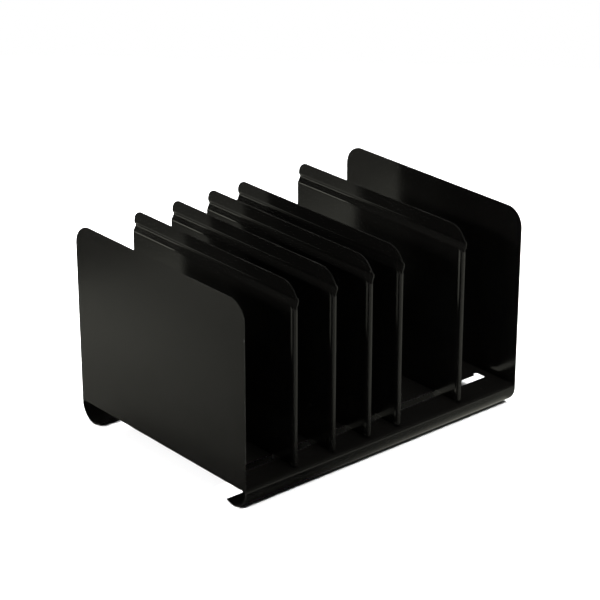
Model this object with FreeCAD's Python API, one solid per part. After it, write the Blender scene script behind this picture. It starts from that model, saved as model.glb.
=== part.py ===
import FreeCAD, Part
import math
import os

# Adjustable book rack of pressed steel sheet: a base with rolled feet and two long slots,
# two end panels, and five dividers that slide along the slots on hooked clips.
# Millimetres. X runs along the row of dividers, the front faces -Y, Z is up.
# The origin is on the table, under the middle of the rack.

Vector = FreeCAD.Vector

# Overall size of the rack
rack_width = 381.0
rack_depth = 279.4

# Base: the floor bends down at the front and back and rolls under into two feet
base_sheet = 1.2
lip_radius = 4.0
foot_straight = 0.2
foot_radius = 20.0
foot_tuck_angle = 33.0

# Pads under the feet
foot_pad_thickness = 1.5
foot_pad_width = 16.0
foot_pad_length = 11.0
foot_pad_from_end = 24.0

# Slots in the floor, with a wider place at the right end where the clips drop in
slot_from_end = 11.4
slot_from_front = 34.6
slot_width = 11.0
slot_corner_radius = 2.0
entry_length = 6.2
entry_width = 14.3

# End panels: flat sheets with a flange turned in under the floor
panel_sheet = 1.2
panel_height = 206.5
panel_front_corner_radius = 21.0
panel_rear_corner_radius = 24.0
panel_bend_inner_radius = 0.6
panel_flange_width = 9.5
panel_flange_end_inset = 6.5
panel_relief_width = 0.8
panel_relief_height = 3.0

# Dividers: sheets with a foot, a pressed groove near the top and a rolled front edge
divider_sheet = 1.0
divider_depth = 269.0
divider_height = 201.7
divider_front_corner_radius = 24.0
divider_rear_corner_radius = 13.0
divider_bend_inner_radius = 1.0
divider_foot_width = 14.0
divider_foot_corner_radius = 6.0
divider_lift = 0.1
hem_diameter = 6.0
hem_slit = 0.6
divider_hem_bottom = 3.5
divider_hem_below_groove = 1.5
divider_hem_depth = 9.3
divider_hem_neck = 5.0
divider_hem_bend_radius = 1.0
divider_hem_angle = 280.0

# The groove runs along the whole divider and pushes the sheet to the right
groove_below_top = 14.2
groove_upper_flank = 3.5
groove_lower_flank = 7.0
groove_depth = 3.6
groove_upper_step = 1.7
groove_bend_radius = 2.0

# Left faces of the dividers, measured from the middle of the rack
divider_1_place = -120.0
divider_2_place = -69.0
divider_3_place = -20.0
divider_4_place = 22.0
divider_5_place = 110.5

# Slide clips: folded channels whose toes hook under the floor
clip_sheet = 1.2
clip_width = 5.4
clip_height = 7.5
clip_from_divider = 2.5
clip_side_clearance = 0.3
clip_toe_length = 2.9
clip_toe_gap = 0.4
clip_toe_radius = 2.0
clip_bend_inner_radius = 0.5

# Heights above the table that follow from the sizes above
foot_axis_height = foot_pad_thickness + foot_radius
floor_top = foot_axis_height + foot_straight + lip_radius
floor_bottom = floor_top - base_sheet
panel_bottom = floor_bottom - panel_sheet
panel_top = panel_bottom + panel_height
divider_bottom = floor_top + divider_lift
divider_top = divider_bottom + divider_height
groove_top = divider_top - groove_below_top
groove_peak = groove_top - groove_upper_flank
groove_low = groove_peak - groove_lower_flank

# Places across the rack that follow from the sizes above
rack_left = -rack_width / 2
rack_right = rack_width / 2
rack_front = -rack_depth / 2
rack_rear = rack_depth / 2
foot_axis_front = rack_front + foot_radius
divider_front = -divider_depth / 2
divider_rear = divider_depth / 2
slot_front = rack_front + slot_from_front
slot_left = rack_left + slot_from_end
slot_right = rack_right - slot_from_end
entry_left = slot_right - entry_length
divider_places = [
    divider_1_place,
    divider_2_place,
    divider_3_place,
    divider_4_place,
    divider_5_place,
]


def direction(heading):
    """The unit vector along a heading in radians."""
    return Vector(math.cos(heading), math.sin(heading), 0)


def left_side(heading):
    """The unit vector to the left of a heading in radians."""
    return Vector(-math.sin(heading), math.cos(heading), 0)


def run(length):
    """A straight stretch of a bent sheet's middle line."""
    return ("run", length, 0.0)


def bend(angle, radius):
    """A bend of a sheet's middle line in degrees, to the left when positive."""
    return ("bend", radius, angle)


def bends_through(points, radii):
    """The runs and bends of a middle line through points, rounded at the inner ones."""
    headings = []
    lengths = []
    for first, second in zip(points, points[1:]):
        step = Vector(second[0] - first[0], second[1] - first[1], 0)
        headings.append(math.atan2(step.y, step.x))
        lengths.append(step.Length)
    moves = []
    rounded_off = 0.0
    for index, radius in enumerate(radii):
        turn = headings[index + 1] - headings[index]
        turn = math.remainder(turn, 2 * math.pi)
        tangent = radius * math.tan(abs(turn) / 2)
        moves.append(run(lengths[index] - rounded_off - tangent))
        moves.append(bend(math.degrees(turn), radius))
        rounded_off = tangent
    moves.append(run(lengths[-1] - rounded_off))
    return moves


def bent_sheet(start, heading_deg, moves, thickness, in_space, sweep):
    """A sheet bent along a middle line. in_space places the drawing's points in the rack."""
    half = thickness / 2
    point = Vector(start[0], start[1], 0)
    heading = math.radians(heading_deg)
    sides = {half: [], -half: []}
    ends = {half: [], -half: []}
    for offset in sides:
        ends[offset].append(point + left_side(heading) * offset)
    for kind, size, angle in moves:
        side = left_side(heading)
        if kind == "run":
            far = point + direction(heading) * size
            for offset, edges in sides.items():
                line = Part.LineSegment(in_space(point + side * offset), in_space(far + side * offset))
                edges.append(line.toShape())
            point = far
            continue
        turn = math.radians(angle)
        lean = math.copysign(1.0, turn)
        centre = point + side * (lean * size)
        for offset, edges in sides.items():
            reach = lean * size - offset
            arc_points = []
            for share in (0.0, 0.5, 1.0):
                spoke = left_side(heading + turn * share)
                arc_points.append(in_space(centre - spoke * reach))
            edges.append(Part.Arc(*arc_points).toShape())
        heading = heading + turn
        point = centre - left_side(heading) * (lean * size)
    for offset in sides:
        ends[offset].append(point + left_side(heading) * offset)
    start_cap = Part.LineSegment(in_space(ends[-half][0]), in_space(ends[half][0])).toShape()
    end_cap = Part.LineSegment(in_space(ends[half][1]), in_space(ends[-half][1])).toShape()
    outline = sides[half] + [end_cap] + list(reversed(sides[-half])) + [start_cap]
    return Part.Face(Part.Wire(outline)).extrude(sweep)


def rounded_prism(corners, in_space, sweep):
    """A prism over corners given as (u, v, radius), sharp where the radius is zero."""
    tangents = []
    arcs = {}
    for index, (u, v, radius) in enumerate(corners):
        corner = Vector(u, v, 0)
        before = Vector(*corners[index - 1][:2], 0)
        after = Vector(*corners[(index + 1) % len(corners)][:2], 0)
        to_before = (before - corner).normalize()
        to_after = (after - corner).normalize()
        half_angle = to_before.getAngle(to_after) / 2
        cut_back = radius / math.tan(half_angle)
        first = corner + to_before * cut_back
        last = corner + to_after * cut_back
        if radius > 0:
            inward = (to_before + to_after).normalize()
            middle = corner + inward * (radius / math.sin(half_angle) - radius)
            arcs[index] = Part.Arc(in_space(first), in_space(middle), in_space(last)).toShape()
        tangents.append((first, last))
    outline = []
    for index, (first, last) in enumerate(tangents):
        if index in arcs:
            outline.append(arcs[index])
        next_first = tangents[(index + 1) % len(tangents)][0]
        outline.append(Part.LineSegment(in_space(last), in_space(next_first)).toShape())
    return Part.Face(Part.Wire(outline)).extrude(sweep)


def box(low, high):
    """A box between two opposite corners."""
    size = Vector(*high) - Vector(*low)
    return Part.makeBox(size.x, size.y, size.z, Vector(*low))


def mirror_left_right(shape):
    """The mirror image across the middle of the width."""
    return shape.mirror(Vector(0, 0, 0), Vector(1, 0, 0))


def mirror_front_rear(shape):
    """The mirror image across the middle of the depth."""
    return shape.mirror(Vector(0, 0, 0), Vector(0, 1, 0))


def slot_cut():
    """The front slot with its wide entry at the right end."""
    depth = Vector(0, 0, 3 * base_sheet)

    def on_floor(point):
        return Vector(point.x, point.y, floor_bottom - base_sheet)

    slot_rear = slot_front + slot_width
    entry_rear = slot_front + entry_width
    radius = slot_corner_radius
    slot = rounded_prism(
        [
            (slot_left, slot_front, radius),
            (slot_right, slot_front, radius),
            (slot_right, slot_rear, radius),
            (slot_left, slot_rear, radius),
        ],
        on_floor,
        depth,
    )
    entry = rounded_prism(
        [
            (entry_left, slot_front, 0),
            (slot_right, slot_front, radius),
            (slot_right, entry_rear, radius),
            (entry_left, entry_rear, radius),
        ],
        on_floor,
        depth,
    )
    return slot.fuse(entry)


def base_plate():
    """One sheet: floor, front and rear lips, and the two rolled feet."""

    def at_left_end(point):
        return Vector(rack_left, point.x, point.y)

    half_sheet = base_sheet / 2
    front_half = bent_sheet(
        (0, floor_top - half_sheet),
        180,
        [
            run(rack_depth / 2 - lip_radius),
            bend(90, lip_radius - half_sheet),
            run(foot_straight),
            bend(90 + foot_tuck_angle, foot_radius - half_sheet),
        ],
        base_sheet,
        at_left_end,
        Vector(rack_width, 0, 0),
    )
    plate = front_half.fuse(mirror_front_rear(front_half)).removeSplitter()
    front_slot = slot_cut()
    plate = plate.cut(front_slot).cut(mirror_front_rear(front_slot))
    panel_room = panel_sheet + panel_bend_inner_radius
    side_cut = box(
        (rack_left, rack_front, panel_bottom),
        (rack_left + panel_room, rack_rear, floor_top + base_sheet),
    )
    return plate.cut(side_cut).cut(mirror_left_right(side_cut))


def left_end_panel():
    """The left end panel, with its flange under the floor."""
    half_sheet = panel_sheet / 2
    bend_radius = panel_bend_inner_radius + half_sheet
    flange_front = rack_front + panel_flange_end_inset
    flange_rear = rack_rear - panel_flange_end_inset

    def at_flange_front(point):
        return Vector(point.x, flange_front, point.y)

    def at_left_end(point):
        return Vector(rack_left, point.x, point.y)

    folded = bent_sheet(
        (rack_left + panel_flange_width, panel_bottom + half_sheet),
        180,
        [
            run(panel_flange_width - half_sheet - bend_radius),
            bend(-90, bend_radius),
            run(panel_height - half_sheet - bend_radius),
        ],
        panel_sheet,
        at_flange_front,
        Vector(0, flange_rear - flange_front, 0),
    )
    front_strip = box(
        (rack_left, rack_front, panel_bottom),
        (rack_left + panel_sheet, flange_front, panel_top),
    )
    relief = box(
        (rack_left, flange_front - panel_relief_width, panel_bottom),
        (rack_left + panel_sheet, flange_front, panel_bottom + panel_relief_height),
    )
    front_strip = front_strip.cut(relief)
    panel = folded.fuse([front_strip, mirror_front_rear(front_strip)])
    outline = rounded_prism(
        [
            (rack_front, panel_bottom, 0),
            (rack_rear, panel_bottom, 0),
            (rack_rear, panel_top, panel_rear_corner_radius),
            (rack_front, panel_top, panel_front_corner_radius),
        ],
        at_left_end,
        Vector(panel_flange_width, 0, 0),
    )
    return panel.common(outline).removeSplitter()


def divider_hem(sheet_middle, hem_high):
    """The rolled front edge of a divider, centred on its sheet."""
    hem_low = divider_bottom + divider_hem_bottom
    roll_radius = hem_diameter / 2 - divider_sheet / 2
    swing = math.asin(roll_radius / divider_hem_neck)
    slope_length = math.sqrt(divider_hem_neck**2 - roll_radius**2)
    rounded_off = divider_hem_bend_radius * math.tan(swing / 2)
    straight = divider_hem_depth - hem_diameter / 2 - divider_hem_neck

    def at_hem_low(point):
        return Vector(point.x, point.y, hem_low)

    return bent_sheet(
        (sheet_middle, divider_front + divider_hem_depth),
        -90,
        [
            run(straight - rounded_off),
            bend(-math.degrees(swing), divider_hem_bend_radius),
            run(slope_length - rounded_off),
            bend(divider_hem_angle, roll_radius),
        ],
        divider_sheet,
        at_hem_low,
        Vector(0, 0, hem_high - hem_low),
    )


def divider(place):
    """A divider whose sheet has its left face at the given place along the rack."""
    half_sheet = divider_sheet / 2
    sheet_middle = place + half_sheet
    foot_right = place + divider_foot_width
    foot_middle = place + divider_foot_width / 2
    foot_front = divider_front + divider_hem_depth
    hem_high = groove_low - divider_hem_below_groove

    def at_front(point):
        return Vector(point.x, divider_front, point.y)

    def beside_sheet(point):
        return Vector(place - hem_diameter, point.x, point.y)

    def on_foot(point):
        return Vector(point.x, point.y, divider_bottom)

    section = [
        (foot_middle, divider_bottom + half_sheet),
        (sheet_middle, divider_bottom + half_sheet),
        (sheet_middle, groove_low),
        (sheet_middle + groove_depth, groove_peak),
        (sheet_middle + groove_upper_step, groove_top),
        (sheet_middle + groove_upper_step, divider_top),
    ]
    foot_bend = divider_bend_inner_radius + half_sheet
    radii = [foot_bend, groove_bend_radius, groove_bend_radius, groove_bend_radius]
    folded = bent_sheet(
        section[0],
        180,
        bends_through(section, radii),
        divider_sheet,
        at_front,
        Vector(0, divider_depth, 0),
    )
    outline = rounded_prism(
        [
            (divider_front, divider_bottom, 0),
            (divider_rear, divider_bottom, 0),
            (divider_rear, divider_top, divider_rear_corner_radius),
            (divider_front, divider_top, divider_front_corner_radius),
        ],
        beside_sheet,
        Vector(2 * hem_diameter + divider_foot_width, 0, 0),
    )
    sheet = folded.common(outline)
    hem_room = box(
        (place - hem_diameter, divider_front, divider_bottom),
        (foot_right, foot_front, hem_high + hem_slit),
    )
    sheet = sheet.cut(hem_room)
    foot = rounded_prism(
        [
            (foot_middle, foot_front, 0),
            (foot_right, foot_front, divider_foot_corner_radius),
            (foot_right, divider_rear, divider_foot_corner_radius),
            (foot_middle, divider_rear, 0),
        ],
        on_foot,
        Vector(0, 0, divider_sheet),
    )
    return sheet.fuse([foot, divider_hem(sheet_middle, hem_high)]).removeSplitter()


def front_clip(place):
    """The front slide clip of a divider: a channel with two toes under the floor."""
    half_sheet = clip_sheet / 2
    left = place + clip_from_divider
    right = left + clip_width
    top = divider_bottom
    low = top - clip_height
    neck_front = slot_front + clip_side_clearance
    neck_rear = slot_front + slot_width - clip_side_clearance
    toe_rear = neck_rear + clip_toe_length
    toe_top = floor_bottom - clip_toe_gap

    def at_neck_front(point):
        return Vector(point.x, neck_front, point.y)

    def at_left(point):
        return Vector(left, point.x, point.y)

    section = [
        (left + half_sheet, low),
        (left + half_sheet, top - half_sheet),
        (right - half_sheet, top - half_sheet),
        (right - half_sheet, low),
    ]
    bend_radius = clip_bend_inner_radius + half_sheet
    channel = bent_sheet(
        section[0],
        90,
        bends_through(section, [bend_radius, bend_radius]),
        clip_sheet,
        at_neck_front,
        Vector(0, toe_rear - neck_front, 0),
    )
    profile = rounded_prism(
        [
            (neck_front, low, clip_toe_radius),
            (toe_rear, low, clip_toe_radius),
            (toe_rear, toe_top, 0),
            (neck_rear, toe_top, 0),
            (neck_rear, top, 0),
            (neck_front, top, 0),
        ],
        at_left,
        Vector(clip_width, 0, 0),
    )
    return channel.common(profile)


def front_left_pad():
    """A pad under the left end of the front foot, flat below and rounded to the foot above."""
    left = rack_left + foot_pad_from_end
    half_length = foot_pad_length / 2
    block = box(
        (left, foot_axis_front - half_length, 0),
        (left + foot_pad_width, foot_axis_front + half_length, foot_pad_thickness + half_length),
    )
    foot_axis = Vector(left, foot_axis_front, foot_axis_height)
    foot = Part.makeCylinder(foot_radius, foot_pad_width, foot_axis, Vector(1, 0, 0))
    return block.cut(foot)


def all_parts():
    """Every piece of the rack under the name of its node."""
    left_panel = left_end_panel()
    pad = front_left_pad()
    parts = {
        "base_plate": base_plate(),
        "left_end_panel": left_panel,
        "right_end_panel": mirror_left_right(left_panel),
        "front_left_foot_pad": pad,
        "front_right_foot_pad": mirror_left_right(pad),
        "rear_left_foot_pad": mirror_front_rear(pad),
        "rear_right_foot_pad": mirror_front_rear(mirror_left_right(pad)),
    }
    for number, place in enumerate(divider_places, start=1):
        clip = front_clip(place)
        parts[f"divider_{number}"] = divider(place)
        parts[f"divider_{number}_front_clip"] = clip
        parts[f"divider_{number}_rear_clip"] = mirror_front_rear(clip)
    return parts


os.makedirs("parts", exist_ok=True)
for name, shape in all_parts().items():
    shape.exportStep(f"parts/{name}.step")
    print(name, len(shape.Solids), shape.isValid(), round(shape.Volume, 1))
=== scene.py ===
import math

import bmesh
import bpy
from mathutils import Matrix, Vector


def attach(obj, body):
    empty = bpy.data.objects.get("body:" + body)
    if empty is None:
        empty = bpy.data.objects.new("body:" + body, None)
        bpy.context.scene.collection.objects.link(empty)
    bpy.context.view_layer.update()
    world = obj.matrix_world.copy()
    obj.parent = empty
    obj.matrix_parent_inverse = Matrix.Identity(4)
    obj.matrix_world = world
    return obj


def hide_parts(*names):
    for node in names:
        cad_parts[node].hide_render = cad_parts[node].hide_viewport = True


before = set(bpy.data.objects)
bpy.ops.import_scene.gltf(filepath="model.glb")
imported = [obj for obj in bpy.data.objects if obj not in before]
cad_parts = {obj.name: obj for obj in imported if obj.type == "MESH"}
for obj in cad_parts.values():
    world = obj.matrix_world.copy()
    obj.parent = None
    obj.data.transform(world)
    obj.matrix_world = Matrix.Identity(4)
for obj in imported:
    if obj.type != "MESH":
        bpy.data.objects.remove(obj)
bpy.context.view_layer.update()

# Sizes in metres. X runs along the row of dividers, the front faces -Y, Z is up.
mm = 0.001
rack_width = 381.0 * mm
rack_depth = 279.4 * mm

base_sheet = 1.2 * mm
lip_radius = 4.0 * mm
foot_straight = 0.2 * mm
foot_radius = 20.0 * mm
foot_tuck_angle = 33.0

pad_thickness = 1.5 * mm
pad_width = 16.0 * mm
pad_length = 11.0 * mm
pad_from_end = 24.0 * mm

slot_from_end = 11.4 * mm
slot_from_front = 34.6 * mm
slot_width = 11.0 * mm
slot_corner_radius = 2.0 * mm
entry_length = 6.2 * mm
entry_width = 14.3 * mm
slot_rim_width = 1.0 * mm

panel_sheet = 1.2 * mm
panel_height = 206.5 * mm
panel_front_corner_radius = 21.0 * mm
panel_rear_corner_radius = 24.0 * mm
panel_bend_inner_radius = 0.6 * mm
panel_flange_width = 9.5 * mm
panel_flange_end_inset = 6.5 * mm
panel_relief_width = 0.8 * mm
panel_relief_height = 3.0 * mm

divider_sheet = 1.0 * mm
divider_depth = 269.0 * mm
divider_height = 201.7 * mm
divider_front_corner_radius = 24.0 * mm
divider_rear_corner_radius = 13.0 * mm
divider_bend_inner_radius = 1.0 * mm
divider_foot_width = 14.0 * mm
divider_foot_corner_radius = 6.0 * mm
divider_lift = 0.1 * mm
hem_diameter = 6.0 * mm
hem_slit = 0.6 * mm
divider_hem_bottom = 3.5 * mm
divider_hem_below_groove = 1.5 * mm
divider_hem_depth = 9.3 * mm
divider_hem_neck = 5.0 * mm
divider_hem_bend_radius = 1.0 * mm
divider_hem_angle = 280.0

groove_below_top = 14.2 * mm
groove_upper_flank = 3.5 * mm
groove_lower_flank = 7.0 * mm
groove_depth = 3.6 * mm
groove_upper_step = 1.7 * mm
groove_bend_radius = 2.0 * mm

# How far the enamel rounds each sheet's cut edges
base_edge_round = 0.25 * mm
panel_edge_round = 0.25 * mm
divider_edge_round = 0.22 * mm
clip_edge_round = 0.2 * mm
pad_edge_round = 0.35 * mm

# In how many steps the bends, corners and rolls are drawn
lip_steps = 8
foot_steps = 32
slot_corner_steps = 5
panel_corner_steps = 16
panel_bend_steps = 5
divider_corner_steps = 16
divider_bend_steps = 6
divider_foot_corner_steps = 8
hem_neck_steps = 3
hem_steps = 30
groove_bend_steps = 4
clip_toe_steps = 5
clip_bend_steps = 4
pad_steps = 8
sheet_edge_steps = 2
pad_edge_steps = 3

divider_places = [-120.0 * mm, -69.0 * mm, -20.0 * mm, 22.0 * mm, 110.5 * mm]

clip_sheet = 1.2 * mm
clip_width = 5.4 * mm
clip_height = 7.5 * mm
clip_from_divider = 2.5 * mm
clip_side_clearance = 0.3 * mm
clip_toe_length = 2.9 * mm
clip_toe_gap = 0.4 * mm
clip_toe_radius = 2.0 * mm
clip_bend_inner_radius = 0.5 * mm

# Heights above the table
foot_axis_height = pad_thickness + foot_radius
floor_top = foot_axis_height + foot_straight + lip_radius
floor_bottom = floor_top - base_sheet
panel_bottom = floor_bottom - panel_sheet
panel_top = panel_bottom + panel_height
divider_bottom = floor_top + divider_lift
divider_top = divider_bottom + divider_height
groove_top = divider_top - groove_below_top
groove_peak = groove_top - groove_upper_flank
groove_low = groove_peak - groove_lower_flank

# Places across and along the rack
rack_left = -rack_width / 2
rack_front = -rack_depth / 2
divider_front = -divider_depth / 2
divider_rear = divider_depth / 2
foot_axis_front = rack_front + foot_radius
slot_front = rack_front + slot_from_front


# Sheet metal work
x_axis = Vector((1, 0, 0))
y_axis = Vector((0, 1, 0))
z_axis = Vector((0, 0, 1))
hair = 0.01 * mm
soft_edge_angle = math.radians(50)


def round_corners(bm, verts, reach, steps):
    """Rounds the corners at some points, from a reach before each to a reach behind it."""
    bmesh.ops.bevel(
        bm, geom=verts, offset=reach, offset_type="OFFSET", segments=steps,
        profile=0.5, affect="VERTICES", clamp_overlap=False, material=-1,
    )


def blank(bm, corners, radii, steps):
    """A flat blank with its corners rounded where a radius is given."""
    verts = [bm.verts.new(corner) for corner in corners]
    bm.faces.new(verts)
    for vert, radius in zip(verts, radii):
        if radius:
            round_corners(bm, [vert], radius, steps)


def score(bm, place, axis):
    """Cuts every face across a plane at right angles to an axis."""
    everything = bm.verts[:] + bm.edges[:] + bm.faces[:]
    bmesh.ops.bisect_plane(bm, geom=everything, dist=hair / 10, plane_co=axis * place, plane_no=axis)


def cut_away(bm, inside):
    """Removes the faces whose middle is inside."""
    faces = [face for face in bm.faces if inside(face.calc_center_median())]
    bmesh.ops.delete(bm, geom=faces, context="FACES")


def rim_edges(bm, on_rim):
    """The open edges with both ends on a rim."""
    return [edge for edge in bm.edges if edge.is_boundary and all(on_rim(vert.co) for vert in edge.verts)]


def pull(bm, edges, step):
    """Lengthens the sheet from its open edges and returns the new open edges."""
    made = bmesh.ops.extrude_edge_only(bm, edges=edges)["geom"]
    verts = [item for item in made if isinstance(item, bmesh.types.BMVert)]
    bmesh.ops.translate(bm, verts=verts, vec=step)
    ends = set(verts)
    return [
        item for item in made
        if isinstance(item, bmesh.types.BMEdge) and all(vert in ends for vert in item.verts)
    ]


def roll(bm, edges, centre, axis, degrees, steps):
    """Rolls the sheet on from its open edges round an axis and returns the new open edges."""
    made = bmesh.ops.spin(
        bm, geom=edges, cent=centre, axis=axis, dvec=(0, 0, 0), angle=math.radians(degrees), steps=steps
    )["geom_last"]
    return [item for item in made if isinstance(item, bmesh.types.BMEdge)]


def piece_from(bm, name, body, nodes, materials):
    """A piece of the rack that stands for its CAD nodes."""
    bmesh.ops.remove_doubles(bm, verts=bm.verts[:], dist=hair / 10)
    bmesh.ops.recalc_face_normals(bm, faces=bm.faces[:])
    mesh = bpy.data.meshes.new(name)
    bm.to_mesh(mesh)
    bm.free()
    mesh.shade_smooth()
    piece = bpy.data.objects.new(name, mesh)
    bpy.context.scene.collection.objects.link(piece)
    for material in materials:
        mesh.materials.append(material)
    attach(piece, body)
    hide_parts(*nodes)
    return piece


def soften(piece, edge_round, steps, edge_finish):
    """Rounds a piece's edges. edge_finish is the number of their material, or -1 for the piece's own."""
    soft_edges = piece.modifiers.new("soft_edges", "BEVEL")
    soft_edges.width = edge_round
    soft_edges.segments = steps
    soft_edges.limit_method = "ANGLE"
    soft_edges.angle_limit = soft_edge_angle
    soft_edges.material = edge_finish
    weigh = piece.modifiers.new("even_shading", "WEIGHTED_NORMAL")
    weigh.keep_sharp = False


def thicken(piece, sheet, edge_round):
    """Gives a bent sheet its thickness and the soft edges that enamel leaves on it."""
    wall = piece.modifiers.new("sheet_thickness", "SOLIDIFY")
    wall.thickness = sheet
    wall.offset = 0.0
    wall.use_even_offset = True
    soften(piece, edge_round, sheet_edge_steps, 1)


class Nodes:
    """A node tree with short ways to add and join nodes."""

    def __init__(self, tree):
        self.tree = tree

    def add(self, kind, **settings):
        """A new node with some of its settings changed."""
        node = self.tree.nodes.new(kind)
        for name, value in settings.items():
            setattr(node, name, value)
        return node

    def join(self, source, target):
        """Joins an output to a socket."""
        self.tree.links.new(source, target)

    def feed(self, value, target):
        """Sets a socket to a number or a colour, or joins it to another node's output."""
        if isinstance(value, (int, float, tuple)):
            target.default_value = value
        else:
            self.join(value, target)

    def parts(self, vector):
        """The X, Y and Z of a vector."""
        node = self.add("ShaderNodeSeparateXYZ")
        self.join(vector, node.inputs[0])
        return node.outputs

    def math(self, operation, first, second=None):
        """A sum, product or comparison of numbers or outputs."""
        node = self.add("ShaderNodeMath", operation=operation)
        self.feed(first, node.inputs[0])
        if second is not None:
            self.feed(second, node.inputs[1])
        return node.outputs[0]

    def ramp(self, value, low, high, to_low=0.0, to_high=1.0):
        """Goes evenly from to_low to to_high while the value goes from low to high, and no further."""
        node = self.add("ShaderNodeMapRange", clamp=True)
        self.join(value, node.inputs["Value"])
        node.inputs["From Min"].default_value = low
        node.inputs["From Max"].default_value = high
        node.inputs["To Min"].default_value = to_low
        node.inputs["To Max"].default_value = to_high
        return node.outputs["Result"]

    def blend(self, share, first, second, kind="FLOAT"):
        """From a first value to a second one as the share goes from 0 to 1."""
        node = self.add("ShaderNodeMix", data_type=kind)
        self.join(share, node.inputs["Factor"])
        self.feed(first, node.inputs["A"])
        self.feed(second, node.inputs["B"])
        return node.outputs["Result"]

    def tint(self, share, first, second):
        """From a first colour to a second one."""
        return self.blend(share, first, second, "RGBA")

    def mix_shaders(self, share, first, second):
        """From a first shader to a second one."""
        node = self.add("ShaderNodeMixShader")
        self.join(share, node.inputs["Fac"])
        self.join(first, node.inputs[1])
        self.join(second, node.inputs[2])
        return node.outputs["Shader"]

    def effect(self, tree, place):
        """How strong a surface effect is at a place."""
        node = self.add("ShaderNodeGroup", node_tree=tree)
        self.join(place, node.inputs["Place"])
        return node.outputs["Value"]

    def noise(self, place, cells, detail):
        """Soft noise with so many cells in a metre."""
        node = self.add("ShaderNodeTexNoise")
        self.join(place, node.inputs["Vector"])
        node.inputs["Scale"].default_value = cells
        node.inputs["Detail"].default_value = detail
        return node.outputs["Fac"]

    def patches(self, place, pattern, to_low=0.0, to_high=1.0):
        """Patches of a pattern: its cells and detail, and the noise from and to which it fades in."""
        cells, detail, low, high = pattern
        return self.ramp(self.noise(place, cells, detail), low, high, to_low, to_high)


def new_material(name):
    material = bpy.data.materials.new(name)
    material.use_nodes = True
    material.node_tree.nodes.clear()
    return material, Nodes(material.node_tree)


def new_effect(name):
    """A surface effect made once as a node group. It takes a place and gives a value."""
    tree = bpy.data.node_groups.new(name, "ShaderNodeTree")
    tree.interface.new_socket("Place", in_out="INPUT", socket_type="NodeSocketVector")
    tree.interface.new_socket("Value", in_out="OUTPUT", socket_type="NodeSocketFloat")
    n = Nodes(tree)
    return tree, n, n.add("NodeGroupInput").outputs["Place"], n.add("NodeGroupOutput").inputs["Value"]


# Patterns of the finish: noise cells in a metre, detail, and the noise from and to which they fade in
scratch_lines = (1.0, 2.0, 0.66, 0.72)
scratch_patches = (16.0, 2.0, 0.45, 0.65)
dust_grains = (900.0, 1.0, 0.5, 0.75)
dust_drifts = (26.0, 4.0, 0.4, 0.7)
sheet_rub_patches = (22.0, 3.0, 0.5, 0.7)
slot_rub_patches = (160.0, 3.0, 0.42, 0.6)
toe_rub_patches = (300.0, 3.0, 0.4, 0.6)
gloss_patches = (30.0, 4.0, 0.3, 0.7)
thin_patches = (45.0, 3.0, 0.45, 0.65)
chips = (240.0, 3.0, 0.70, 0.74)
broad_peel = (420.0, 2.0)
fine_peel = (1500.0, 1.0)
fine_peel_share = 0.15
scuff_grain = (500.0, 3.0)
rubber_grain = (2500.0, 2.0)

# Scratches are drawn out along Y
scratch_stretch = (900.0, 14.0, 900.0)

# Dust settles on faces whose normal rises from the first value to the second
dust_slope = (0.5, 0.95)

# Where the rub is full and where it ends, as heights above the table or distances
sheet_rub_full = 100.0 * mm
sheet_rub_end = 170.0 * mm
slot_rub_reach = 2.5 * mm
foot_rub_full = 2.0 * mm
foot_rub_end = 5.0 * mm
toe_rub_depth = 1.5 * mm
scuff_full = 0.1 * mm
scuff_end = 0.5 * mm

# Linear colours
enamel_colour = (0.0011, 0.00105, 0.00095, 1.0)
slot_rub_colour = (0.0026, 0.0025, 0.0024, 1.0)
sheet_rub_colour = (0.0016, 0.0015, 0.0014, 1.0)
toe_rub_colour = (0.012, 0.012, 0.0115, 1.0)
dust_colour = (0.16, 0.15, 0.14, 1.0)
thin_enamel_colour = (0.008, 0.0078, 0.0074, 1.0)
primer_colour = (0.05, 0.05, 0.048, 1.0)
rubber_colour = (0.012, 0.012, 0.012, 1.0)
scuffed_rubber_colour = (0.06, 0.058, 0.055, 1.0)

# Roughness: the smoothest and roughest places, then what each mark adds
enamel_ior = 1.5
enamel_roughness = (0.11, 0.16)
edge_roughness = (0.16, 0.26)
rubber_roughness = (0.62, 0.85)
scratch_roughness = 0.10
dust_roughness = 0.12
rub_roughness = 0.06
chip_roughness = 0.3
dust_cover = 0.012

# Relief: strength and height
scratch_depth = 0.25
enamel_bump = (0.12, 0.2 * mm)
edge_bump = (0.12, 0.1 * mm)
rubber_bump = (0.3, 0.1 * mm)


def make_orange_peel():
    """The fine waviness of sprayed and baked enamel."""
    tree, n, place, value = new_effect("orange_peel")
    fine = n.math("MULTIPLY", n.noise(place, *fine_peel), fine_peel_share)
    n.join(n.math("ADD", n.noise(place, *broad_peel), fine), value)
    return tree


def make_fine_scratches():
    """Hairline scratches that run from front to back, the way things are pushed in and pulled out."""
    tree, n, place, value = new_effect("fine_scratches")
    stretched = n.add("ShaderNodeVectorMath", operation="MULTIPLY")
    n.join(place, stretched.inputs[0])
    stretched.inputs[1].default_value = scratch_stretch
    lines = n.patches(stretched.outputs["Vector"], scratch_lines)
    n.join(n.math("MULTIPLY", lines, n.patches(place, scratch_patches)), value)
    return tree


def make_settled_dust():
    """Thin dust on the faces that look up."""
    tree, n, place, value = new_effect("settled_dust")
    normal = n.parts(n.add("ShaderNodeNewGeometry").outputs["Normal"])
    upward = n.ramp(normal["Z"], *dust_slope)
    drifted = n.math("MULTIPLY", n.patches(place, dust_grains), n.patches(place, dust_drifts))
    n.join(n.math("MULTIPLY", upward, drifted), value)
    return tree


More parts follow.
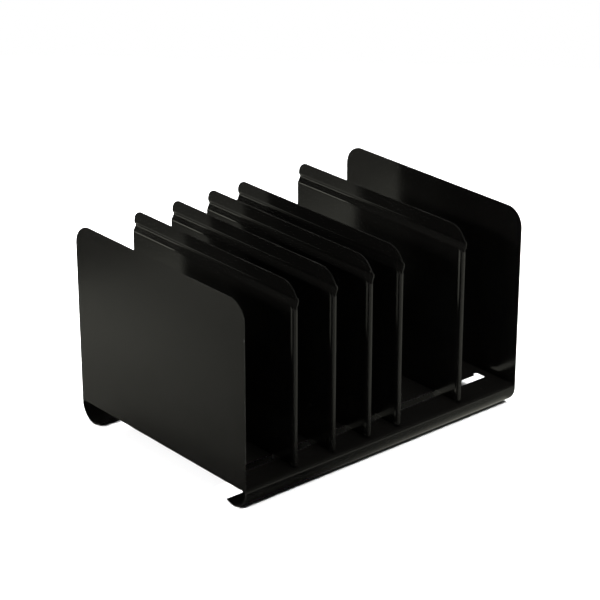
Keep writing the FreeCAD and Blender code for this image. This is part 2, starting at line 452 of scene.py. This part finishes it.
def make_sheet_rub():
    """Where use burnishes the end panels and dividers, in soft patches in the lower two thirds."""
    tree, n, place, value = new_effect("sheet_rub")
    low_down = n.ramp(n.parts(place)["Z"], sheet_rub_end, sheet_rub_full)
    n.join(n.math("MULTIPLY", low_down, n.patches(place, sheet_rub_patches)), value)
    return tree


def make_slot_and_foot_rub():
    """Where the base is rubbed: along the edges of both slots and under the feet."""
    tree, n, place, value = new_effect("slot_and_foot_rub")
    spot = n.parts(place)
    across = n.math("SUBTRACT", n.math("ABSOLUTE", spot["Y"]), -slot_front - slot_width / 2)
    beside_slot = n.ramp(n.math("ABSOLUTE", across), slot_width / 2 + slot_rub_reach, slot_width / 2)
    along_slot = n.math("LESS_THAN", n.math("ABSOLUTE", spot["X"]), -rack_left - slot_from_end)
    under_foot = n.ramp(spot["Z"], foot_rub_end, foot_rub_full)
    rubbed = n.math("MAXIMUM", n.math("MULTIPLY", beside_slot, along_slot), under_foot)
    n.join(n.math("MULTIPLY", rubbed, n.patches(place, slot_rub_patches)), value)
    return tree


def make_toe_rub():
    """Where the clips' toes and necks run along the slot and wear the enamel thin."""
    tree, n, place, value = new_effect("toe_rub")
    at_toes = n.ramp(n.parts(place)["Z"], floor_top, floor_bottom - toe_rub_depth)
    n.join(n.math("MULTIPLY", at_toes, n.patches(place, toe_rub_patches)), value)
    return tree


orange_peel = make_orange_peel()
fine_scratches = make_fine_scratches()
settled_dust = make_settled_dust()
sheet_rub = make_sheet_rub()
slot_and_foot_rub = make_slot_and_foot_rub()
toe_rub = make_toe_rub()


def new_finish(name):
    """A material with its shader, and the place on the piece that its patterns follow."""
    material, n = new_material(name)
    shader = n.add("ShaderNodeBsdfPrincipled")
    n.join(shader.outputs["BSDF"], n.add("ShaderNodeOutputMaterial").inputs["Surface"])
    return material, n, shader, n.add("ShaderNodeTexCoord").outputs["Object"]


def raise_surface(n, shader, height, bump):
    """Gives a finish its fine relief."""
    node = n.add("ShaderNodeBump")
    node.inputs["Strength"].default_value, node.inputs["Distance"].default_value = bump
    n.join(height, node.inputs["Height"])
    n.join(node.outputs["Normal"], shader.inputs["Normal"])


def black_enamel(name, rub_effect, rub_colour):
    """Satin black baked enamel with its waviness, scratches, dust and the rub of its own piece."""
    material, n, shader, place = new_finish(name)
    shader.inputs["IOR"].default_value = enamel_ior
    scratched = n.effect(fine_scratches, place)
    dusty = n.effect(settled_dust, place)
    rubbed = n.effect(rub_effect, place)
    bare = n.tint(rubbed, enamel_colour, rub_colour)
    n.join(n.tint(n.math("MULTIPLY", dusty, dust_cover), bare, dust_colour), shader.inputs["Base Color"])
    roughness = n.patches(place, gloss_patches, *enamel_roughness)
    for mark, added in ((scratched, scratch_roughness), (dusty, dust_roughness), (rubbed, rub_roughness)):
        roughness = n.math("ADD", roughness, n.math("MULTIPLY", mark, added))
    n.join(roughness, shader.inputs["Roughness"])
    scratches = n.math("MULTIPLY", scratched, scratch_depth)
    raise_surface(n, shader, n.math("SUBTRACT", n.effect(orange_peel, place), scratches), enamel_bump)
    return material


def worn_edge_enamel(name):
    """The enamel on the sheets' edges: thinner, and chipped to the grey primer in a few short places."""
    material, n, shader, place = new_finish(name)
    shader.inputs["IOR"].default_value = enamel_ior
    thin = n.patches(place, thin_patches)
    chipped = n.patches(place, chips)
    thinned = n.tint(thin, enamel_colour, thin_enamel_colour)
    n.join(n.tint(chipped, thinned, primer_colour), shader.inputs["Base Color"])
    roughness = n.ramp(thin, 0.0, 1.0, *edge_roughness)
    roughness = n.math("ADD", roughness, n.math("MULTIPLY", chipped, chip_roughness))
    n.join(roughness, shader.inputs["Roughness"])
    raise_surface(n, shader, n.math("SUBTRACT", n.effect(orange_peel, place), chipped), edge_bump)
    return material


def matt_rubber(name):
    """Moulded black rubber, greyer and rougher where it stands on the table."""
    material, n, shader, place = new_finish(name)
    at_table = n.ramp(n.parts(place)["Z"], scuff_end, scuff_full)
    scuffed = n.math("MULTIPLY", at_table, n.noise(place, *scuff_grain))
    n.join(n.tint(scuffed, rubber_colour, scuffed_rubber_colour), shader.inputs["Base Color"])
    n.join(n.ramp(scuffed, 0.0, 1.0, *rubber_roughness), shader.inputs["Roughness"])
    raise_surface(n, shader, n.noise(place, *rubber_grain), rubber_bump)
    return material


base_enamel = black_enamel("base_black_enamel", slot_and_foot_rub, slot_rub_colour)
sheet_enamel = black_enamel("end_and_divider_black_enamel", sheet_rub, sheet_rub_colour)
clip_enamel = black_enamel("clip_black_enamel", toe_rub, toe_rub_colour)
enamel_edge = worn_edge_enamel("worn_enamel_edge")
rubber = matt_rubber("black_foot_rubber")


def base_plate():
    """One sheet: floor with its two slots, front and rear lips, and the two rolled feet."""
    bm = bmesh.new()
    mid = base_sheet / 2
    floor_mid = floor_top - mid
    floor_edge = rack_front + lip_radius
    # The front lip and foot go on from the floor's front edge
    first = bm.verts.new((rack_left, floor_edge, floor_mid))
    second = bm.verts.new((-rack_left, floor_edge, floor_mid))
    edges = [bm.edges.new((first, second))]
    lip_centre = (0, floor_edge, foot_axis_height + foot_straight)
    edges = roll(bm, edges, lip_centre, x_axis, 90, lip_steps)
    edges = pull(bm, edges, (0, 0, -foot_straight))
    foot_centre = (0, foot_axis_front, foot_axis_height)
    roll(bm, edges, foot_centre, x_axis, 90 + foot_tuck_angle, foot_steps)
    slot_rear = slot_front + slot_width
    entry_rear = slot_front + entry_width
    slot_left = rack_left + slot_from_end
    slot_right = -slot_left
    entry_left = slot_right - entry_length

    def slot_outline(widen):
        """The open outline of the front slot, widened all round."""
        before = set(bm.faces)
        blank(
            bm,
            [
                (slot_left - widen, slot_front - widen, floor_mid),
                (slot_right + widen, slot_front - widen, floor_mid),
                (slot_right + widen, entry_rear + widen, floor_mid),
                (entry_left - widen, entry_rear + widen, floor_mid),
                (entry_left - widen, slot_rear + widen, floor_mid),
                (slot_left - widen, slot_rear + widen, floor_mid),
            ],
            [slot_corner_radius + widen] * 4 + [0, slot_corner_radius + widen],
            slot_corner_steps,
        )
        faces = [face for face in bm.faces if face not in before]
        edges = list(faces[0].edges)
        bmesh.ops.delete(bm, geom=faces, context="FACES_ONLY")
        return edges

    # A narrow rim round the slot keeps its edge clean
    slot_edges = slot_outline(0.0)
    rim_outline = slot_outline(slot_rim_width)
    bmesh.ops.bridge_loops(bm, edges=slot_edges + rim_outline)
    # The rear lip, foot and slot mirror the front ones
    mirrored = bmesh.ops.duplicate(bm, geom=bm.verts[:] + bm.edges[:] + bm.faces[:])
    twin_verts = [item for item in mirrored["geom"] if isinstance(item, bmesh.types.BMVert)]
    bmesh.ops.scale(bm, verts=twin_verts, vec=(1, -1, 1))
    edge_map = mirrored["edge_map"]
    rim_outline += [edge_map[edge] for edge in rim_outline]
    # The floor fills what lies between the two lips, round both slots
    lip_edges = [
        edge for edge in bm.edges
        if all(
            abs(vert.co.z - floor_mid) < hair and abs(abs(vert.co.y) + floor_edge) < hair
            for vert in edge.verts
        )
    ]
    sides = []
    for sign in (-1, 1):
        ends = [vert for edge in lip_edges for vert in edge.verts if vert.co.x * sign > 0]
        sides.append(bm.edges.new(ends))
    outlines = lip_edges + sides + rim_outline
    bmesh.ops.triangle_fill(bm, use_beauty=True, use_dissolve=False, edges=outlines, normal=(0, 0, 1))
    # The floor and lips stop short of the end panels, and what lies lower goes on to the ends
    lip_end = -rack_left - panel_sheet - panel_bend_inner_radius
    score(bm, -lip_end, x_axis)
    score(bm, lip_end, x_axis)
    score(bm, panel_bottom, z_axis)
    cut_away(bm, lambda c: abs(c.x) > lip_end and c.z > panel_bottom)
    materials = [base_enamel, enamel_edge]
    piece = piece_from(bm, "folded_base_plate", "rack_body", ["base_plate"], materials)
    thicken(piece, base_sheet, base_edge_round)


def end_panel(side, name, node):
    """An end panel with its flange turned in under the floor. side is -1 at the left."""
    bm = bmesh.new()
    mid = panel_sheet / 2
    x = rack_left + mid
    bend_radius = panel_bend_inner_radius + mid
    tangent = panel_bottom + mid + bend_radius
    rear = -rack_front
    blank(
        bm,
        [
            (x, rack_front, panel_bottom),
            (x, rear, panel_bottom),
            (x, rear, panel_top),
            (x, rack_front, panel_top),
        ],
        [0, 0, panel_rear_corner_radius, panel_front_corner_radius],
        panel_corner_steps,
    )
    # The flange, with a relief cut at each of its ends
    flange_end = rear - panel_flange_end_inset
    relief_end = flange_end + panel_relief_width
    relief_top = panel_bottom + panel_relief_height
    for place in (flange_end, relief_end):
        score(bm, place, y_axis)
        score(bm, -place, y_axis)
    for place in (tangent, relief_top):
        score(bm, place, z_axis)
    cut_away(bm, lambda c: abs(c.y) < flange_end and c.z < tangent)
    cut_away(bm, lambda c: flange_end < abs(c.y) < relief_end and c.z < relief_top)
    bottom = rim_edges(bm, lambda c: abs(c.z - tangent) < hair and abs(c.y) < flange_end + hair)
    bottom = roll(bm, bottom, (x + bend_radius, 0, tangent), y_axis, -90, panel_bend_steps)
    pull(bm, bottom, (panel_flange_width - mid - bend_radius, 0, 0))
    if side > 0:
        bmesh.ops.scale(bm, verts=bm.verts[:], vec=(-1, 1, 1))
    piece = piece_from(bm, name, "rack_body", [node], [sheet_enamel, enamel_edge])
    thicken(piece, panel_sheet, panel_edge_round)


def divider(number, place):
    """A sliding divider with its foot, pressed groove and rolled front edge."""
    bm = bmesh.new()
    mid = divider_sheet / 2
    x = place + mid
    bend_radius = divider_bend_inner_radius + mid
    tangent = divider_bottom + mid + bend_radius
    blank(
        bm,
        [
            (x, divider_front, tangent),
            (x, divider_rear, tangent),
            (x, divider_rear, divider_top),
            (x, divider_front, divider_top),
        ],
        [0, 0, divider_rear_corner_radius, divider_front_corner_radius],
        divider_corner_steps,
    )
    # The front edge is cut free below the groove, so that it can be rolled
    hem_root = divider_front + divider_hem_depth
    hem_low = divider_bottom + divider_hem_bottom
    hem_high = groove_low - divider_hem_below_groove
    score(bm, hem_root, y_axis)
    for height in (hem_low, hem_high, hem_high + hem_slit):
        score(bm, height, z_axis)
    cut_away(bm, lambda c: c.y < hem_root and c.z < hem_high + hem_slit)
    # The groove is pressed in along lines across the whole sheet
    for height, _ in groove_line:
        score(bm, height, z_axis)
    for vert in bm.verts:
        vert.co.x += groove_shift(vert.co.z)
    # The foot turns to the right
    bottom = rim_edges(bm, lambda c: abs(c.z - tangent) < hair)
    bottom = roll(bm, bottom, (x + bend_radius, 0, tangent), y_axis, -90, divider_bend_steps)
    foot = pull(bm, bottom, (divider_foot_width - mid - bend_radius, 0, 0))
    foot_corners = [vert for edge in foot for vert in edge.verts if len(vert.link_edges) == 2]
    round_corners(bm, foot_corners, divider_foot_corner_radius, divider_foot_corner_steps)
    # The front edge runs straight on, bends to the left, slopes and rolls up
    hem = rim_edges(bm, lambda c: abs(c.y - hem_root) < hair and hem_low - hair < c.z < hem_high + hair)
    roll_radius = hem_diameter / 2 - mid
    swing = math.asin(roll_radius / divider_hem_neck)
    slope = math.sqrt(divider_hem_neck ** 2 - roll_radius ** 2)
    rounded_off = divider_hem_bend_radius * math.tan(swing / 2)
    straight = divider_hem_depth - hem_diameter / 2 - divider_hem_neck
    hem = pull(bm, hem, (0, -(straight - rounded_off), 0))
    neck_y = hem_root - (straight - rounded_off)
    neck_centre = (x - divider_hem_bend_radius, neck_y, 0)
    hem = roll(bm, hem, neck_centre, z_axis, -math.degrees(swing), hem_neck_steps)
    slope_run = slope - rounded_off
    hem = pull(bm, hem, (-math.sin(swing) * slope_run, -math.cos(swing) * slope_run, 0))
    roll(bm, hem, (x, divider_front + hem_diameter / 2, 0), z_axis, divider_hem_angle, hem_steps)
    piece = piece_from(
        bm, f"pressed_divider_{number}", f"sliding_divider_{number}",
        [f"divider_{number}"], [sheet_enamel, enamel_edge],
    )
    thicken(piece, divider_sheet, divider_edge_round)


def bent_line(points, radii):
    """A line through (height, shift) points with its inner corners rounded."""
    bm = bmesh.new()
    verts = [bm.verts.new((shift, 0, height)) for height, shift in points]
    for first, second in zip(verts, verts[1:]):
        bm.edges.new((first, second))
    for vert, radius in zip(verts[1:-1], radii):
        one, two = ((edge.other_vert(vert).co - vert.co) for edge in vert.link_edges)
        reach = radius / math.tan(one.angle(two) / 2)
        round_corners(bm, [vert], reach, groove_bend_steps)
    line = sorted((vert.co.z, vert.co.x) for vert in bm.verts)
    bm.free()
    return line


groove_line = bent_line(
    [
        (groove_low - 2 * groove_lower_flank, 0.0),
        (groove_low, 0.0),
        (groove_peak, groove_depth),
        (groove_top, groove_upper_step),
        (divider_top + groove_upper_flank, groove_upper_step),
    ],
    [groove_bend_radius] * 3,
)


def groove_shift(height):
    """How far the pressed groove pushes the sheet to the right at a height."""
    if height <= groove_line[0][0]:
        return 0.0
    for (low, low_shift), (high, high_shift) in zip(groove_line, groove_line[1:]):
        if height <= high + hair:
            return low_shift + (high_shift - low_shift) * (height - low) / (high - low)
    return groove_upper_step


def slide_clip(number, place, end):
    """A folded clip under a divider's foot. end is -1 at the front slot and 1 at the rear one."""
    bm = bmesh.new()
    mid = clip_sheet / 2
    left = place + clip_from_divider
    top = divider_bottom
    low = top - clip_height
    neck_front = slot_front + clip_side_clearance
    neck_rear = slot_front + slot_width - clip_side_clearance
    toe_rear = neck_rear + clip_toe_length
    toe_top = floor_bottom - clip_toe_gap
    bend_radius = clip_bend_inner_radius + mid
    tangent = top - mid - bend_radius
    x = left + mid
    # One side with its toe and half of the web over it, and then its mirror image
    blank(
        bm,
        [
            (x, neck_front, low),
            (x, toe_rear, low),
            (x, toe_rear, toe_top),
            (x, neck_rear, toe_top),
            (x, neck_rear, tangent),
            (x, neck_front, tangent),
        ],
        [clip_toe_radius, clip_toe_radius, 0, 0, 0, 0],
        clip_toe_steps,
    )
    edges = rim_edges(bm, lambda c: abs(c.z - tangent) < hair and c.y < neck_rear + hair)
    edges = roll(bm, edges, (x + bend_radius, 0, tangent), y_axis, 90, clip_bend_steps)
    half_web = clip_width / 2 - mid - bend_radius
    pull(bm, edges, (half_web, 0, 0))
    middle = left + clip_width / 2
    twin = bmesh.ops.duplicate(bm, geom=bm.verts[:] + bm.edges[:] + bm.faces[:])["geom"]
    twin_verts = [item for item in twin if isinstance(item, bmesh.types.BMVert)]
    bmesh.ops.scale(bm, verts=twin_verts, vec=(-1, 1, 1), space=Matrix.Translation((-middle, 0, 0)))
    if end > 0:
        bmesh.ops.scale(bm, verts=bm.verts[:], vec=(1, -1, 1))
    where = "front" if end < 0 else "rear"
    piece = piece_from(
        bm, f"slide_clip_{number}_{where}", f"sliding_divider_{number}",
        [f"divider_{number}_{where}_clip"], [clip_enamel, enamel_edge],
    )
    thicken(piece, clip_sheet, clip_edge_round)


def foot_pad(side, end, node):
    """A rubber pad, flat below and hollowed above to the foot's curve, mirrored from the front left one."""
    bm = bmesh.new()
    left = rack_left + pad_from_end
    half = pad_length / 2
    swing = math.asin(half / foot_radius)
    start_y = foot_axis_front - half
    start_z = foot_axis_height - foot_radius * math.cos(swing)
    first = bm.verts.new((left, start_y, start_z))
    second = bm.verts.new((left + pad_width, start_y, start_z))
    edge = bm.edges.new((first, second))
    axis_place = (0, foot_axis_front, foot_axis_height)
    roll(bm, [edge], axis_place, x_axis, math.degrees(2 * swing), pad_steps)
    made = bmesh.ops.extrude_face_region(bm, geom=bm.faces[:])["geom"]
    lower = [item for item in made if isinstance(item, bmesh.types.BMVert)]
    bmesh.ops.scale(bm, verts=lower, vec=(1, 1, 0))
    bmesh.ops.scale(bm, verts=bm.verts[:], vec=(-side, -end, 1))
    piece = piece_from(bm, f"rubber_{node}", "rack_body", [node], [rubber])
    soften(piece, pad_edge_round, pad_edge_steps, -1)


base_plate()
end_panel(-1, "left_end_sheet", "left_end_panel")
end_panel(1, "right_end_sheet", "right_end_panel")
for number, place in enumerate(divider_places, start=1):
    divider(number, place)
    slide_clip(number, place, -1)
    slide_clip(number, place, 1)
for side, side_name in ((-1, "left"), (1, "right")):
    for end, end_name in ((-1, "front"), (1, "rear")):
        foot_pad(side, end, f"{end_name}_{side_name}_foot_pad")


# The stage: a pale table, white surroundings, three softboxes and the camera
table_half_size = 30.0
table_colour = (0.86, 0.86, 0.86, 1.0)
studio_tint = (1.0, 1.0, 0.86, 1.0)

# How bright the painted reflection of the table is in the enamel, with painted shade near the rack: place
# from, place to, tone at the first, tone at the second
painted_reflection_behind = (-0.05, 0.32, 0.12, 0.44)
painted_reflection_close_in_front = (-0.09, 0.2, 0.02, 0.36)
painted_reflection_further_in_front = (-0.25, 0.2, 0.30, 0.55)
painted_shade_under_rack = (-0.10, 0.19, 0.01, 0.45)
dimmer_far_behind = (0.42, 0.52, 1.0, 0.45)
dimmer_far_left = (-0.36, -0.47, 1.0, 0.65)
painted_shadow_beside_left_panel = (-0.265, -0.215, 0.0, 0.6)

# Where these areas fade into one another: place from, place to
left_panel_shade_depth = (0.16, 0.08)
rack_shade_depth = (0.150, 0.140)
front_strips_meet = (-0.20, -0.26)
front_meets_behind = (-0.10, -0.16)
mirrored_table_ends = (1.5, 2.4)
seen_table_ends = (1.0, 1.8)

# The bright bands that the enamel mirrors, at the rear left and the front right: the direction, the
# cosines from and to which a band fades in round it, the heights between which it ends, its strength
bright_bands = [
    ((-0.65, 0.76, 0.0), (0.6, 0.95), (0.17, 0.12), 4.0),
    ((0.55, -0.83, 0.0), (0.4, 0.9), (0.8, 0.0), 0.18),
]
dark_studio_strength = 0.04
sky_heights = (0.5, 1.0)
sky_strength = 0.5

# Name, place, target, width and length in metres, watts
softboxes = [
    ("overhead_softbox", (0.12, 0.15, 2.4), (0.0, 0.0, 0.1), (1.0, 1.0), 150.0),
    ("left_softbox", (-2.4, 0.0, 1.3), (-0.15, 0.0, 0.0), (1.2, 0.3), 150.0),
    ("front_softbox", (0.1, -1.45, 1.9), (0.0, -0.13, 0.0), (1.2, 0.3), 75.0),
]
# Angles in degrees, lens in millimetres for a sensor 36 mm wide
camera_sensor = 36.0
camera_place = (-1.400, -1.642, 1.073)
camera_tilt = 90 - 23.53
camera_heading = -40.44
camera_lens = 132.0


def new_floor():
    """A wide pale table. Its reflection in the enamel is painted: a glow that only glossy rays see, toned
    by place like a studio with darkened surroundings, with painted shade beside the left panel and under
    the rack.
    """
    bm = bmesh.new()
    bmesh.ops.create_grid(bm, x_segments=1, y_segments=1, size=table_half_size)
    mesh = bpy.data.meshes.new("studio_floor")
    bm.to_mesh(mesh)
    bm.free()
    floor = bpy.data.objects.new("studio_floor", mesh)
    bpy.context.scene.collection.objects.link(floor)
    material, n = new_material("pale_floor_with_painted_reflection")
    pale = n.add("ShaderNodeBsdfDiffuse")
    pale.inputs["Color"].default_value = table_colour
    spot = n.parts(n.add("ShaderNodeTexCoord").outputs["Object"])
    x, y = spot["X"], spot["Y"]
    from_middle_x, from_middle_y = n.math("ABSOLUTE", x), n.math("ABSOLUTE", y)
    reach = n.math("ADD", from_middle_x, from_middle_y)
    # What the enamel mirrors: a painted reflection, toned by place and not lit by the lamps
    close_in_front = n.ramp(x, *painted_reflection_close_in_front)
    further_in_front = n.ramp(x, *painted_reflection_further_in_front)
    in_front = n.blend(n.ramp(y, *front_strips_meet), close_in_front, further_in_front)
    tone = n.blend(n.ramp(y, *front_meets_behind), n.ramp(y, *painted_reflection_behind), in_front)
    dim_far = n.math("MULTIPLY", n.ramp(y, *dimmer_far_behind), n.ramp(x, *dimmer_far_left))
    # Painted shadow of the rack on the table, just left of the left panel
    painted_shadow_near_left = n.math("MULTIPLY", n.ramp(x, *painted_shadow_beside_left_panel), n.ramp(y, *left_panel_shade_depth))
    beside = n.math("MULTIPLY", painted_shadow_near_left, n.math("LESS_THAN", x, rack_left))
    shaded = n.math("MULTIPLY", dim_far, n.math("SUBTRACT", 1.0, beside))
    tone = n.math("MULTIPLY", tone, shaded)
    # Painted shade under the rack: dark at the left, lighter towards the right
    within_depth = n.ramp(from_middle_y, *rack_shade_depth)
    within_width = n.math("LESS_THAN", from_middle_x, -rack_left)
    under_rack = n.math("MULTIPLY", within_depth, within_width)
    tone = n.blend(under_rack, tone, n.ramp(x, *painted_shade_under_rack))
    tone = n.blend(n.ramp(reach, *mirrored_table_ends), tone, 1.0)
    # The painted reflection glows with these tones, and only glossy rays see it
    mirrored = n.add("ShaderNodeEmission")
    mirrored.inputs["Color"].default_value = studio_tint
    n.join(tone, mirrored.inputs["Strength"])
    # What the camera sees: the table, and white beyond it
    path = n.add("ShaderNodeLightPath")
    horizon = n.add("ShaderNodeEmission")
    seen_far = n.math("MULTIPLY", path.outputs["Is Camera Ray"], n.ramp(reach, *seen_table_ends))
    seen = n.mix_shaders(seen_far, pale.outputs["BSDF"], horizon.outputs["Emission"])
    surface = n.mix_shaders(path.outputs["Is Glossy Ray"], seen, mirrored.outputs["Emission"])
    n.join(surface, n.add("ShaderNodeOutputMaterial").inputs["Surface"])
    mesh.materials.append(material)


def new_world():
    """White behind the rack, soft light from above, and bright bands low down for the enamel to mirror."""
    world = bpy.data.worlds.new("studio")
    bpy.context.scene.world = world
    world.use_nodes = True
    world.node_tree.nodes.clear()
    n = Nodes(world.node_tree)
    path = n.add("ShaderNodeLightPath")
    towards = n.add("ShaderNodeTexCoord").outputs["Generated"]

    def facing(direction):
        dot = n.add("ShaderNodeVectorMath", operation="DOT_PRODUCT")
        n.join(towards, dot.inputs[0])
        dot.inputs[1].default_value = direction
        return dot.outputs["Value"]

    height = facing(z_axis)
    mirrored = dark_studio_strength
    for direction, spread, heights, brightness in bright_bands:
        band = n.math("MULTIPLY", n.ramp(facing(direction), *spread), n.ramp(height, *heights))
        mirrored = n.math("ADD", n.math("MULTIPLY", band, brightness), mirrored)
    lit = n.ramp(height, *sky_heights, 0.0, sky_strength)
    strength = n.blend(path.outputs["Is Glossy Ray"], lit, mirrored)
    strength = n.blend(path.outputs["Is Camera Ray"], strength, 1.0)
    background = n.add("ShaderNodeBackground")
    n.join(strength, background.inputs["Strength"])
    tint = n.tint(path.outputs["Is Glossy Ray"], (1.0, 1.0, 1.0, 1.0), studio_tint)
    n.join(tint, background.inputs["Color"])
    n.join(background.outputs["Background"], n.add("ShaderNodeOutputWorld").inputs["Surface"])


def soft_light(name, place, target, size, watts):
    """A softbox that points at a target. The enamel doesn't mirror it."""
    data = bpy.data.lights.new(name, "AREA")
    data.shape = "RECTANGLE"
    data.size, data.size_y = size
    data.energy = watts
    light = bpy.data.objects.new(name, data)
    bpy.context.scene.collection.objects.link(light)
    light.location = place
    aim = Vector(target) - Vector(place)
    light.rotation_euler = aim.to_track_quat("-Z", "Y").to_euler()
    light.visible_glossy = False


def new_camera():
    """The camera at the front left, well away and with a long lens."""
    data = bpy.data.cameras.new("rack_camera")
    data.sensor_width = camera_sensor
    data.lens = camera_lens
    camera = bpy.data.objects.new("rack_camera", data)
    bpy.context.scene.collection.objects.link(camera)
    camera.location = camera_place
    camera.rotation_euler = (math.radians(camera_tilt), 0.0, math.radians(camera_heading))
    bpy.context.scene.camera = camera


new_floor()
new_world()
for name, place, target, size, watts in softboxes:
    soft_light(name, place, target, size, watts)
new_camera()

bpy.context.scene.view_settings.view_transform = "Standard"
bpy.context.scene.view_settings.look = "None"
